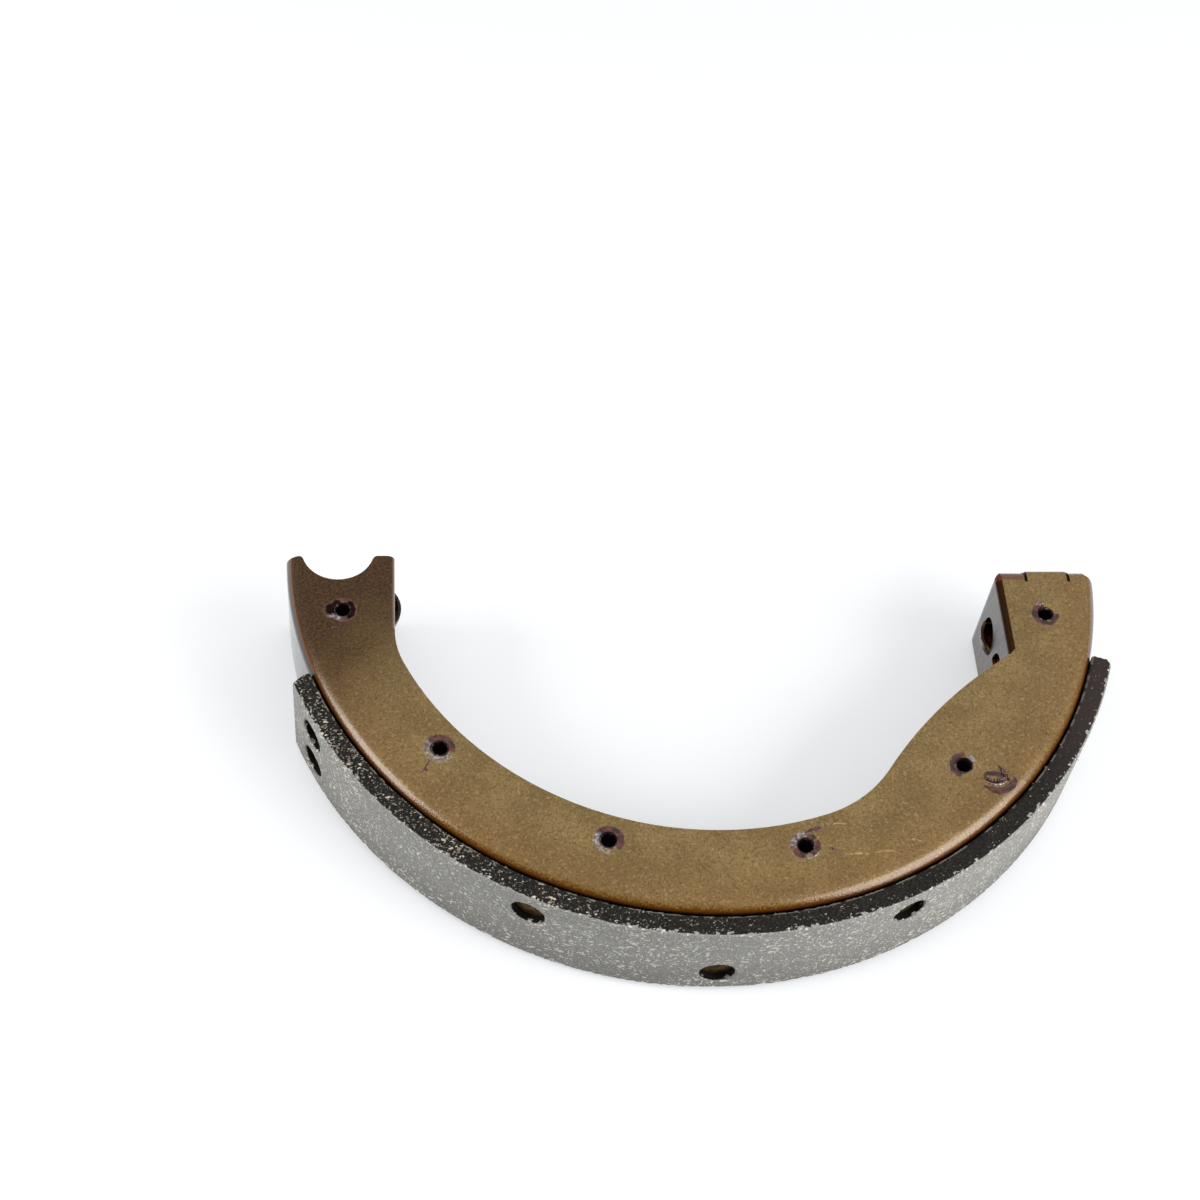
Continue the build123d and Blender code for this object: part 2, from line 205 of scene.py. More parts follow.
def shell_paint():
    """Bronze-brown dip paint with a fine grain: deep brown in bends, painted shade on upright
    faces, darker at the pivot end.
    """
    finish = Finish("shell_paint")
    x, y, z = finish.split(finish.place)
    normal_x, _, _ = finish.split(finish.node("ShaderNodeNewGeometry").outputs["Normal"])
    level = finish.levelness()
    tone, grain, mottle = web_tone(finish)
    # How far along the arm to the pivot end: 0 on the arc, 1 at the notch, with a ragged front.
    along = finish.math("SUBTRACT", y, x)
    ragged = finish.math("MULTIPLY", finish.math("SUBTRACT", mottle, 0.5), 34 * MM)
    along = finish.math("ADD", along, ragged)
    toward_pivot = finish.ramp(along, 18 * MM, 68 * MM)
    # Darker towards the pivot end.
    dark_grain = finish.noise(0.5 * MM, detail=2.5, roughness=0.65)
    pivot_tone = finish.blend(finish.ramp(dark_grain, 0.36, 0.68),
                              colour(28, 12, 0), colour(82, 50, 12))
    tone = finish.blend(finish.math("MULTIPLY", toward_pivot, 0.94), tone, pivot_tone)
    # Darker orange-brown paint on the bends; the near-black on upright faces is painted shade, as
    # in the crevice by the lining.
    grained = finish.math("ADD", level, finish.ramp(grain, 0.25, 0.75, -0.09, 0.09))
    tone = finish.blend(finish.ramp(grained, 0.8, 0.64), tone, colour(94, 52, 4))
    tone = finish.blend(finish.ramp(level, 0.66, 0.42), tone, colour(22, 8, 2))
    # The bend over the cam end's inner wall is dark brown all across, the wall itself streaked.
    cam_end = finish.ramp(x, 66 * MM, 68 * MM)
    by_wall = finish.all_of(finish.ramp(normal_x, -0.12, -0.26), cam_end)
    tone = finish.blend(finish.math("MULTIPLY", by_wall, 0.95), tone, colour(40, 17, 1))
    streaks = finish.noise(0.8 * MM, detail=2.0, place=finish.stretched((1.0, 1.0, 0.2)))
    on_wall = finish.all_of(finish.ramp(normal_x, -0.9, -0.98), cam_end)
    browned = finish.all_of(finish.ramp(z, 17 * MM, 11 * MM),
                            finish.ramp(streaks, 0.3, 0.7, 0.2, 0.6))
    tone = finish.blend(finish.all_of(on_wall, browned), tone, colour(66, 36, 26))
    # A red-brown patch over the inner ear of the cam end: thick paint, partly lightened as a
    # painted highlight on the ear's bend.
    run = finish.all_of(
        finish.ramp(y, CAM_FACE_Y - 3.6 * MM, CAM_FACE_Y - 3.0 * MM),
        finish.ramp(x, TAB_START_X, TAB_START_X - 0.8 * MM),
        finish.ramp(x, 60 * MM, 62 * MM),
        finish.ramp(z, WEB_TOP - 3.6 * MM, WEB_TOP - 2.4 * MM),
    )
    tone = finish.blend(finish.math("MULTIPLY", run, 0.9), tone, colour(100, 54, 40))
    # Inside the cam end: painted shade, near-black on the upright faces, and streaked red-brown
    # paint on the level faces at the bottom.
    inside = finish.all_of(
        finish.ramp(x, CAM_WALL_X + 0.1 * MM, CAM_WALL_X + 0.3 * MM),
        finish.ramp(finish.radius(), DRUM_RADIUS - 7 * MM, DRUM_RADIUS - 7.3 * MM),
        finish.ramp(y, CAM_FACE_Y - 1.2 * MM, CAM_FACE_Y - 1.4 * MM),
        finish.ramp(y, -36 * MM, -30 * MM),
        finish.ramp(z, WEB_TOP - 1.9 * MM, WEB_TOP - 2.1 * MM),
        finish.ramp(z, 1.0 * MM, 1.3 * MM),
    )
    inside_brown = finish.blend(finish.ramp(streaks, 0.4, 0.6), colour(60, 30, 14), colour(118, 62, 26))
    inside_painted_shade = finish.blend(finish.ramp(level, 0.5, 0.9), colour(8, 4, 2), inside_brown)
    tone = finish.blend(inside, tone, inside_painted_shade)
    # The raised lips of the spring holes are dark.
    lip = finish.all_of(
        finish.ramp(finish.math("ABSOLUTE", x), 71.3 * MM, 71.1 * MM),
        finish.ramp(y, -25 * MM, -24 * MM),
        finish.ramp(z, WEB_TOP - 3 * MM, WEB_TOP - 4 * MM),
    )
    tone = finish.blend(finish.math("MULTIPLY", lip, 0.9), tone, colour(44, 20, 10))
    # The wall behind the lining is near-black: painted shade in the crevice between shell and
    # lining.
    behind = finish.all_of(
        finish.ramp(level, 0.6, 0.35),
        finish.ramp(finish.radius(), DRUM_RADIUS - 7 * MM, DRUM_RADIUS - 6.2 * MM),
        finish.ramp(y, -34 * MM, -38 * MM),
    )
    tone = finish.blend(behind, tone, colour(8, 3, 1))
    # Glossy on upright faces, but not behind the lining, inside the cam end or in the bend over
    # its wall. The wall itself keeps its gloss, with duller streaks.
    plain_coat = finish.ramp(toward_pivot, 0.0, 1.0, 0.85, 0.15)
    coat = finish.math("MAXIMUM", plain_coat, finish.ramp(level, 0.9, 0.75, 0.0, 1.0))
    matt = finish.math("MAXIMUM", behind, inside)
    streaked = finish.math("MULTIPLY", on_wall, finish.ramp(streaks, 0.3, 0.66, 0.84, 1.0))
    bend_only = finish.math("SUBTRACT", by_wall, streaked)
    matt = finish.math("MAXIMUM", matt, finish.math("MULTIPLY", bend_only, 0.9), clamp=True)
    coat = finish.math("MULTIPLY", coat, finish.math("SUBTRACT", 1.0, matt))
    finish.set(
        Base_Color=tone,
        Roughness=finish.ramp(grain, 0.3, 0.7, 0.34, 0.48),
        Metallic=0.2,
        Specular_IOR_Level=finish.math("MULTIPLY", finish.ramp(matt, 0.0, 1.0, 0.3, 0.02),
                                       finish.ramp(level, 0.75, 0.9, 0.1, 1.0)),
        Coat_Weight=coat,
        Coat_IOR=finish.ramp(level, 0.95, 0.8, 1.4, 1.5),
        Coat_Roughness=finish.ramp(level, 0.97, 0.85, 0.2, 0.09),
        Normal=finish.bump(grain, 0.05 * MM),
    )
    finish.set(Coat_Normal=finish.bump(grain, 0.045 * MM))
    return finish.material


def dried_paint():
    """Thick glossy paint round the rivets, purple-brown where it pooled and grey where it is off.

    The mesh says where: 'pool' is how deep it stands, and painted shade at a bore's mouth; 'bare'
    how far the steel shows through it.
    """
    finish = Finish("dried_paint")
    lumps = finish.noise(1.4 * MM, detail=2.0)
    fine = finish.noise(0.6 * MM, detail=1.5)
    tone, _, _ = web_tone(finish)
    pool = finish.mesh_value("pool")
    bare = finish.mesh_value("bare")
    brown = finish.blend(finish.ramp(lumps, 0.36, 0.68), colour(38, 13, 10), colour(92, 44, 32))
    thin = finish.blend(finish.ramp(pool, 0.08, 0.5), tone, colour(98, 58, 34))
    tone = finish.blend(finish.ramp(pool, 0.4, 0.75), thin, brown)
    tone = finish.blend(finish.ramp(pool, 1.0, 1.5), tone, colour(14, 6, 4))
    steel = finish.blend(finish.ramp(fine, 0.35, 0.65), colour(92, 84, 84), colour(164, 158, 156))
    finish.set(
        Base_Color=finish.blend(bare, tone, steel),
        Roughness=finish.ramp(lumps, 0.3, 0.7, 0.26, 0.42),
        Metallic=finish.math("MULTIPLY", bare, 0.4),
        Specular_IOR_Level=finish.ramp(pool, 1.0, 1.3, 0.3, 0.02),
        Coat_Weight=finish.ramp(pool, 1.0, 1.3, 0.85, 0.08),
        Coat_IOR=1.42,
        Coat_Roughness=finish.ramp(finish.math("MAXIMUM", pool, bare), 0.0, 1.0, 0.2, 0.06),
        Normal=finish.bump(lumps, 0.1 * MM),
    )
    finish.set(Coat_Normal=finish.bump(fine, 0.06 * MM))
    return finish.material


def pale_paint():
    """Scuffed paint: the pale yellow of a scratch that doesn't reach the steel."""
    finish = Finish("pale_paint")
    patches = finish.noise(0.6 * MM, detail=2.0)
    tone, _, _ = web_tone(finish)
    finish.set(
        Base_Color=finish.blend(finish.ramp(patches, 0.42, 0.6), tone, colour(162, 134, 78)),
        Roughness=finish.ramp(patches, 0.3, 0.7, 0.35, 0.5),
        Coat_Weight=0.5,
        Coat_Roughness=0.2,
    )
    return finish.material


def lining_compound():
    """Friction compound: pale and speckled where it was ground, almost black on its other sides."""
    finish = Finish("lining_compound")
    x, y, z = finish.split(finish.place)
    plan = finish.radius()
    # Where the edge is chipped, the pale compound shows on the top as well.
    chips = finish.ramp(finish.noise(1.3 * MM, detail=2.0), 0.53, 0.64, 0.0, 0.75 * MM)
    ground = finish.ramp(finish.math("ADD", plan, chips),
                         DRUM_RADIUS - 0.5 * MM, DRUM_RADIUS - 0.25 * MM)
    fine = finish.noise(0.4 * MM, detail=2.5, roughness=0.6)
    patchy = finish.noise(2.6 * MM, detail=3.0, roughness=0.55)
    wide = finish.noise(7 * MM, detail=2.0)

    def grains(size, threshold, place):
        """Ragged specks of about this size: fewer of them the higher the threshold."""
        cells = finish.noise(size, detail=1.5, place=place)
        return finish.ramp(finish.math("SUBTRACT", cells, threshold), 0.0, 0.035)

    along_face = finish.stretched((1.0, 1.5, 1.7), 0.5)
    across_face = finish.stretched((1.6, 1.0, 1.0), 0.9)
    on_top = finish.stretched((1.0, 1.3, 1.6), 2.1)
    face_tone = finish.blend(finish.ramp(fine, 0.3, 0.72),
                             colour(122, 121, 116), colour(168, 167, 161))
    face_tone = finish.blend(finish.ramp(patchy, 0.3, 0.7, 0.0, 0.4), face_tone,
                             colour(134, 132, 127))
    face_tone = finish.blend(finish.ramp(z, 17 * MM, 1 * MM, 0.0, 0.5), face_tone,
                             colour(108, 106, 101))
    sparser = finish.ramp(wide, 0.35, 0.65, 0.04, -0.015)
    pale = finish.math("MAXIMUM", grains(1.3 * MM, finish.math("ADD", sparser, 0.62), along_face),
                       grains(0.9 * MM, finish.math("ADD", sparser, 0.635), across_face))
    pale = finish.math("MAXIMUM", pale, grains(0.6 * MM, 0.66, on_top))
    face_tone = finish.blend(finish.math("MULTIPLY", pale, 0.75), face_tone, colour(222, 217, 206))
    dark_specks = finish.math("MULTIPLY", grains(0.5 * MM, 0.67, across_face), 0.6)
    face_tone = finish.blend(dark_specks, face_tone, colour(86, 82, 78))

    edge_tone = finish.blend(finish.ramp(fine, 0.35, 0.7), colour(10, 9, 7), colour(44, 41, 36))
    edge_tone = finish.blend(finish.ramp(x, 70 * MM, 92 * MM, 0.0, 0.6), edge_tone,
                             colour(58, 46, 44))
    # The specks crowd at the pivot end and thin out towards the cam.
    fewer = finish.math("ADD", finish.ramp(x, -80 * MM, 70 * MM, 0.0, 0.11),
                        finish.ramp(wide, 0.35, 0.65, 0.025, -0.025))
    small = grains(0.55 * MM, finish.math("ADD", fewer, 0.595), on_top)
    large = grains(1.1 * MM, finish.math("ADD", fewer, 0.655), along_face)
    edge_tone = finish.blend(finish.math("MULTIPLY", small, 0.75), edge_tone, colour(146, 138, 126))
    edge_tone = finish.blend(finish.math("MULTIPLY", large, 0.85), edge_tone, colour(196, 186, 168))
    # A pale line along the inner edge, where the compound is chipped.
    inner_line = finish.ramp(plan, LINING_INNER_RADIUS + 0.6 * MM, LINING_INNER_RADIUS + 0.2 * MM)
    inner_line = finish.math("MULTIPLY", inner_line, finish.ramp(patchy, 0.46, 0.56))
    edge_tone = finish.blend(finish.math("MULTIPLY", inner_line, 0.6), edge_tone,
                             colour(140, 134, 122))
    # The walls of the rivet holes are near-black: painted shade inside the holes.
    edge_tone = finish.blend(finish.mesh_value("bore"), edge_tone, colour(12, 10, 8))

    finish.set(
        Base_Color=finish.blend(ground, edge_tone, face_tone),
        Roughness=finish.ramp(fine, 0.3, 0.7, 0.75, 0.95),
        Specular_IOR_Level=0.2,
        Normal=finish.bump(fine, 0.12 * MM),
    )
    return finish.material


def brass():
    """Brass rivet heads, dulled by the dust of grinding and darkened with painted shade in their
    counterbores.
    """
    finish = Finish("brass")
    tarnish_and_shade = finish.noise(1.5 * MM, detail=3.0)
    dust = finish.noise(0.5 * MM, detail=2.0)
    # The dark tones are partly tarnish, partly painted shade deep in the counterbores.
    tone = finish.blend(finish.ramp(tarnish_and_shade, 0.35, 0.7), colour(96, 72, 34), colour(40, 30, 16))
    tone = finish.blend(finish.ramp(dust, 0.5, 0.75, 0.0, 0.6), tone, colour(52, 48, 42))
    finish.set(
        Base_Color=tone,
        Roughness=finish.ramp(tarnish_and_shade, 0.3, 0.7, 0.42, 0.65),
        Metallic=finish.ramp(dust, 0.5, 0.75, 0.9, 0.3),
    )
    return finish.material


def rivet_steel():
    """The tubular rivets: painted shade, near-black, down the bore; bare patches on the rolled
    lips.
    """
    finish = Finish("rivet_steel")
    _, _, z = finish.split(finish.place)
    height = finish.math("ABSOLUTE", finish.math("SUBTRACT", z, WEB_TOP / 2))
    patches = finish.noise(0.9 * MM, detail=3.0)
    tone = finish.blend(finish.ramp(patches, 0.56, 0.68), colour(40, 20, 16), colour(176, 168, 160))
    # Painted shade: near-black down the bore, where no light reaches.
    bore_shade = finish.ramp(height, WEB_TOP / 2 - 0.35 * MM, WEB_TOP / 2 - 0.8 * MM)
    tone = finish.blend(bore_shade, tone, colour(14, 10, 9))
    finish.set(
        Base_Color=tone,
        Roughness=finish.ramp(patches, 0.3, 0.7, 0.3, 0.45),
        Metallic=finish.ramp(patches, 0.56, 0.68, 0.0, 0.5),
        Coat_Weight=0.3,
        Coat_Roughness=0.1,
    )
    return finish.material


def dress(material, nodes):
    """Gives some of the part's nodes their finish."""
    for name in nodes:
        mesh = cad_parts[name].data
        mesh.materials.clear()
        mesh.materials.append(material)


def nodes_named(start):
    return sorted(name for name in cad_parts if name.startswith(start))


PAINT = dried_paint()
SCUFF = pale_paint()
COMPOUND = lining_compound()
dress(shell_paint(), nodes_named("shell_"))
dress(COMPOUND, ["lining"])
dress(brass(), nodes_named("lining_rivet_"))
dress(rivet_steel(), nodes_named("tie_rivet_"))


# ---- thin pieces of paint that lie on the upper web ---------------------------------------------
SKIN_DEPTH = 0.12 * MM       # how far a skin's underside goes into the web
SKIN_EDGE = 0.015 * MM       # how far its edge lies under the web's face


def add_piece(name, mesh, material):
    """Puts a mesh in the scene as a piece of the part, under one of its material slots."""
    for polygon in mesh.polygons:
        polygon.use_smooth = True
    mesh.materials.append(material)
    piece = bpy.data.objects.new(name, mesh)
    bpy.context.scene.collection.objects.link(piece)
    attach(piece, "root")


def skin(name, rows, material, ring=False, depth=SKIN_DEPTH):
    """A thin closed skin from rows of (point, pool, bare). A ring's last row meets its first."""
    count = len(rows)
    width = len(rows[0])
    top = [point for row in rows for point, _, _ in row]
    under = [Vector((p.x, p.y, min(p.z, WEB_TOP) - depth)) for p in top]
    faces = []

    def at(row, column, low):
        return low * len(top) + (row % count) * width + column

    for row in range(count if ring else count - 1):
        for column in range(width - 1):
            corners = ((row, column), (row + 1, column), (row + 1, column + 1), (row, column + 1))
            faces.append([at(*corner, 0) for corner in corners])
            faces.append([at(*corner, 1) for corner in reversed(corners)])
        for column, step in ((0, 1), (width - 1, -1)):
            side = [at(row, column, 0), at(row, column, 1),
                    at(row + 1, column, 1), at(row + 1, column, 0)]
            faces.append(side if step > 0 else side[::-1])
    if not ring:
        for row, step in ((0, -1), (count - 1, 1)):
            for column in range(width - 1):
                side = [at(row, column, 0), at(row, column, 1),
                        at(row, column + 1, 1), at(row, column + 1, 0)]
                faces.append(side if step > 0 else side[::-1])
    mesh = bpy.data.meshes.new(name)
    mesh.from_pydata(top + under, [], faces)
    for index, label in ((1, "pool"), (2, "bare")):
        values = [entry[index] for row in rows for entry in row]
        mesh.attributes.new(label, "FLOAT", "POINT").data.foreach_set("value", values + values)
    shape = bmesh.new()
    shape.from_mesh(mesh)
    bmesh.ops.recalc_face_normals(shape, faces=shape.faces)
    shape.to_mesh(mesh)
    shape.free()
    add_piece(name, mesh, material)


def rough(x, y, size, seed):
    """Smooth noise from -1 to 1 over the web, with cells of this size."""
    return noise.noise(Vector((x / size, y / size, seed * 7.31)))


def polar(radius, angle, z=0.0):
    """The point at this distance from the drum's axis and at this angle in degrees."""
    turn = math.radians(angle)
    return Vector((radius * math.cos(turn), radius * math.sin(turn), z))


def smooth_step(low, high, value):
    """0 at low, 1 at high, and smooth in between."""
    share = min(max((value - low) / (high - low), 0.0), 1.0)
    return share * share * (3.0 - 2.0 * share)


def angle_window(angle, middle, half, soft=25.0):
    """1 within this many degrees of a direction, falling to 0 over the soft margin."""
    away = abs((angle - middle + 180.0) % 360.0 - 180.0)
    return 1.0 - smooth_step(half, half + soft, away)


# The paint over a rivet's rolled lip, its flange and its dimple: (radius, height over the web), mm.
RIM_PROFILE = (
    (1.80, -0.42), (1.90, -0.06), (2.05, 0.03), (2.45, -0.09), (2.95, -0.12), (3.35, 0.03),
)
RING_STEPS = 96
RING_ROWS = 18


def rim_height(radius):
    """How far the paint stands over the web at this distance from the rivet's middle, in mm."""
    for (near, low), (far, high) in zip(RIM_PROFILE, RIM_PROFILE[1:]):
        if radius <= far:
            return low + (high - low) * max(radius - near, 0.0) / (far - near)
    return RIM_PROFILE[-1][1]


def rivet_paint(number, reach, pools, bares, spill=(0.0, 0.0, 0.0), depth=1.0, least=0.0):
    """Paint round the upper end of a tie rivet.

    Reach is the plain outer radius in mm. Pools and bares are (direction, half width) in degrees,
    of where the paint stands dark and where steel shows. Spill is (direction, half width, extra
    reach). A depth over 1 makes the pools black, and least is how deep it stands all round.
    """
    low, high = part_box(f"tie_rivet_{number}")
    centre = (low + high) / 2
    rows = []
    for step in range(RING_STEPS):
        angle = 360.0 * step / RING_STEPS
        out = polar(1.0, angle)
        edge = reach + 0.28 * rough(out.x, out.y, 0.45, number)
        edge += spill[2] * angle_window(angle, spill[0], spill[1], 30.0)
        pool = max([angle_window(angle, *window) for window in pools], default=0.0)
        bare = max([angle_window(angle, *window) for window in bares], default=0.0)
        row = []
        for column in range(RING_ROWS):
            share = column / (RING_ROWS - 1)
            radius = RIM_PROFILE[0][0] + (edge - RIM_PROFILE[0][0]) * share
            x = centre.x + out.x * radius * MM
            y = centre.y + out.y * radius * MM
            lumps = rough(x, y, 0.9 * MM, number)
            fade = smooth_step(1.0, 0.86, share)
            lift = rim_height(radius) * fade + 0.08 * lumps * fade * (0.3 + pool)
            z = WEB_TOP + lift * MM - SKIN_EDGE * (1.0 - fade)
            speckle = rough(x, y, 0.7 * MM, number + 20)
            outer = smooth_step(1.0, 0.62, share + 0.12 * lumps)
            # Near the bore the paint turns near-black: painted shade at the mouth of the hole.
            throat_shade = 1.45 * smooth_step(0.24, 0.06, share + 0.1 * lumps)
            deep = max(pool * depth * outer, throat_shade, least)
            steel = bare * smooth_step(-0.45, 0.1, speckle) * outer * smooth_step(0.12, 0.28, share)
            # Pale specks on the lip's crest: partly bare steel, partly painted glints.
            lip = smooth_step(0.13, 0.08, share) * smooth_step(0.3, 0.6, speckle) * 0.8
            row.append((Vector((x, y, z)), deep, min(steel + lip, 1.0)))
        rows.append(row)
    skin(f"rivet_paint_{number}", rows, PAINT, ring=True)


def spline(points, count):
    """Evenly counted points on a smooth line through the given ones."""
    made = []
    last = len(points) - 1
    for step in range(count):
        place = last * step / (count - 1)
        index = min(int(place), last - 1)
        share = place - index
        before = points[max(index - 1, 0)]
        start, end = points[index], points[index + 1]
        after = points[min(index + 2, last)]
        made.append(tuple(
            0.5 * (2 * b + (c - a) * share + (2 * a - 5 * b + 4 * c - d) * share**2
                   + (3 * b - a - 3 * c + d) * share**3)
            for a, b, c, d in zip(before, start, end, after)
        ))
    return made


STREAK_STEPS = 36
STREAK_COLUMNS = 11


def streak(name, line, material=PAINT, pool=1.0, bare=0.0, ragged=0.25, seed=0):
    """A run or ridge of paint along a line of (x, y, half width, height), all in mm."""
    points = spline(line, STREAK_STEPS)
    rows = []
    for step, (x, y, half, height) in enumerate(points):
        ahead = points[min(step + 1, STREAK_STEPS - 1)]
        behind = points[max(step - 1, 0)]
        run = Vector((ahead[0] - behind[0], ahead[1] - behind[1], 0.0)).normalized()
        side = Vector((-run.y, run.x, 0.0))
        row = []
        for column in range(STREAK_COLUMNS):
            across = 2.0 * column / (STREAK_COLUMNS - 1) - 1.0
            wander = 1.0 + ragged * rough(x, y, 0.8, seed + (1 if across > 0 else 2))
            place = Vector((x, y, 0.0)) + side * (across * half * wander)
            dome = math.sqrt(max(1.0 - across * across, 0.0))
            lumps = 1.0 + 0.5 * rough(place.x, place.y, 0.5, seed + 3)
            z = WEB_TOP + height * dome * lumps * MM - SKIN_EDGE * (1.0 - dome)
            row.append((Vector((place.x * MM, place.y * MM, z)), pool, bare))
        rows.append(row)
    skin(name, rows, material)


SLOT_PAINT_TOP = WEB_TOP - 1.1 * MM      # along the slot's walls
SLOT_PAINT_HOLLOW = 0.35                 # of the top, in mm, along the middle
SLOT_PAINT_DEPTH = 2.7 * MM              # from the top to the underside
SLOT_PAINT_STEPS = 20
SLOT_PAINT_COLUMNS = 7
SLOT_SIDE_GAP = 0.01 * MM                # between the paint and each wall
SLOT_END_GAP = 0.02 * MM                 # between the paint and the blind end
SLOT_PAINT_SHORT = 0.25 * MM             # how much shorter than the slot the paint is


def slot_paint(number, slot_x):
    """Paint that stands in a relief slot, hollow along its middle."""
    rows = []
    length = CAM_FACE_Y - SLOT_PAINT_SHORT - SLOT_END_Y
    for step in range(SLOT_PAINT_STEPS):
        y = SLOT_END_Y + SLOT_END_GAP + length * step / (SLOT_PAINT_STEPS - 1)
        row = []
        for column in range(SLOT_PAINT_COLUMNS):
            across = 2.0 * column / (SLOT_PAINT_COLUMNS - 1) - 1.0
            x = slot_x + across * (SLOT_WIDTH / 2 - SLOT_SIDE_GAP)
            hollow = SLOT_PAINT_HOLLOW * (1.0 - across * across)
            hollow += 0.12 * rough(x, y, 0.5 * MM, number)
            row.append((Vector((x, y, SLOT_PAINT_TOP - hollow * MM)), 1.0, 0.0))
        rows.append(row)
    skin(f"slot_paint_{number}", rows, PAINT, depth=SLOT_PAINT_DEPTH)


def paint_details():
    """The dried paint and the marks that the photograph shows on the upper web, places in mm."""
    rivet_paint(1, 3.45, [(180, 70), (0, 55)], [(235, 14)], (183, 14, 1.3), depth=1.4, least=0.62)
    rivet_paint(2, 3.9, [(75, 80)], [(190, 36), (250, 10), (300, 18)])
    rivet_paint(3, 3.8, [(60, 95)], [(175, 24), (240, 16)])
    rivet_paint(4, 3.7, [(130, 80), (345, 30), (225, 25)], [(105, 16), (165, 14)])
    rivet_paint(5, 3.6, [(165, 72)], [(40, 8)])
    rivet_paint(6, 3.5, [(205, 100), (320, 30)], [])
    # A curled flake between the last two rivets, with the pools that it stands in.
    streak("flake_pool_low", [
        (60.1, -66.0, 0.2, 0.02), (61.8, -66.9, 0.7, 0.07), (63.9, -67.4, 1.0, 0.1),
        (66.2, -66.4, 0.9, 0.09), (67.5, -64.6, 0.5, 0.05), (67.4, -63.6, 0.1, 0.01),
    ], seed=31)
    streak("flake_pool_high", [
        (60.7, -63.9, 0.2, 0.02), (61.2, -62.9, 0.5, 0.06), (62.6, -62.8, 0.65, 0.07),
        (64.2, -63.1, 0.55, 0.06), (64.9, -63.9, 0.2, 0.02),
    ], seed=35)
    # Its pale lower edge: partly bare metal, partly a painted highlight.
    streak("flake_bright_edge", [
        (60.9, -64.8, 0.12, 0.05), (62.0, -65.55, 0.28, 0.22), (63.1, -65.75, 0.3, 0.24),
        (64.4, -65.5, 0.3, 0.24), (65.5, -64.9, 0.12, 0.06),
    ], pool=0.2, bare=0.9, ragged=0.35, seed=41)
    streak("flake_curl", [
        (60.6, -62.9, 0.14, 0.1), (60.9, -64.1, 0.3, 0.5), (61.9, -64.85, 0.34, 0.75),
        (63.2, -65.1, 0.36, 0.8), (64.6, -64.6, 0.4, 0.85), (65.8, -63.9, 0.3, 0.4),
    ], ragged=0.3, seed=45)
    streak("flake_tail", [
        (64.3, -60.8, 0.12, 0.1), (64.8, -61.7, 0.4, 0.45), (65.3, -62.8, 0.5, 0.8),
        (65.8, -63.8, 0.5, 0.9), (66.3, -64.7, 0.2, 0.3),
    ], ragged=0.3, seed=49)
    # A run from the fourth rivet.
    streak("rivet_run", [
        (18.3, -77.7, 0.35, 0.1), (19.4, -77.1, 0.5, 0.16), (20.3, -76.8, 0.5, 0.18),
        (21.2, -76.6, 0.6, 0.16), (22.0, -76.3, 0.2, 0.03),
    ], seed=53)
    # A pale crescent by the fourth rivet: partly bare steel, partly a painted highlight.
    streak("rivet_crescent", [
        (17.4, -83.9, 0.12, 0.03), (18.6, -83.9, 0.25, 0.14), (20.0, -83.2, 0.25, 0.16),
        (21.1, -82.0, 0.12, 0.04),
    ], pool=0.1, bare=0.8, seed=57)
    # A drop beside the last rivet.
    streak("rivet_drop", [
        (80.3, -16.9, 0.15, 0.05), (80.7, -16.5, 0.75, 0.4), (81.2, -16.2, 0.85, 0.5),
        (81.7, -16.2, 0.6, 0.35), (82.1, -16.5, 0.12, 0.05),
    ], pool=0.45, bare=0.35, ragged=0.15, seed=61)
    # Paint that stands in the relief slots.
    for number, slot_x in enumerate((TAB_START_X, TAB_START_X + TAB_WIDTH), start=1):
        slot_paint(number, slot_x)
    # Small marks.
    streak("mark_pivot", [
        (-86.0, -23.4, 0.12, 0.04), (-85.1, -22.9, 0.4, 0.1), (-84.0, -23.7, 0.15, 0.04),
    ], pool=0.9, seed=65)
    streak("mark_line", [
        (-63.8, -58.4, 0.1, 0.03), (-64.3, -59.4, 0.16, 0.05), (-65.0, -60.6, 0.16, 0.05),
        (-66.0, -62.2, 0.08, 0.02),
    ], seed=69)
    streak("mark_dot", [
        (-65.1, -60.9, 0.1, 0.03), (-64.6, -60.9, 0.42, 0.12), (-64.1, -61.0, 0.1, 0.03),
    ], seed=73)
    streak("mark_speck", [
        (23.6, -81.4, 0.08, 0.03), (23.95, -81.6, 0.32, 0.1), (24.3, -81.8, 0.08, 0.03),
    ], seed=77)
    scuffs = (
        ((24.2, -75.6), (26.0, -75.2), (27.9, -75.4)),
        ((27.0, -83.1), (29.4, -82.8), (32.1, -83.0)),
        ((33.2, -82.7), (35.6, -82.2), (38.0, -82.4)),
        ((40.8, -79.6), (42.6, -79.5), (44.6, -80.2)),
    )
    for number, (start, middle, end) in enumerate(scuffs, start=1):
        streak(f"scuff_{number}", [
            (*start, 0.05, 0.01), (*middle, 0.3, 0.035), (*end, 0.05, 0.01),
        ], material=SCUFF, ragged=0.5, seed=80 + number)


# ---- the lining: the CAD solid, remeshed and roughened -------------------------------------------
LINING_VOXEL = 0.42 * MM
BORE_REACH = 4.15 * MM       # a little over a counterbore's radius
BORE_DEPTH = 4 * MM          # how far in from a rivet's middle its hole is still marked
CHIP_REACH = 0.9 * MM        # how far from an edge it is worn
CHIP_WEAR = 0.07 * MM        # wear of every edge
CHIP_DEPTH = 0.55 * MM       # of the deepest chips
FACE_ROUGHNESS = 0.025 * MM  # of the ground face
SIDE_ROUGHNESS = 0.09 * MM   # of the other sides


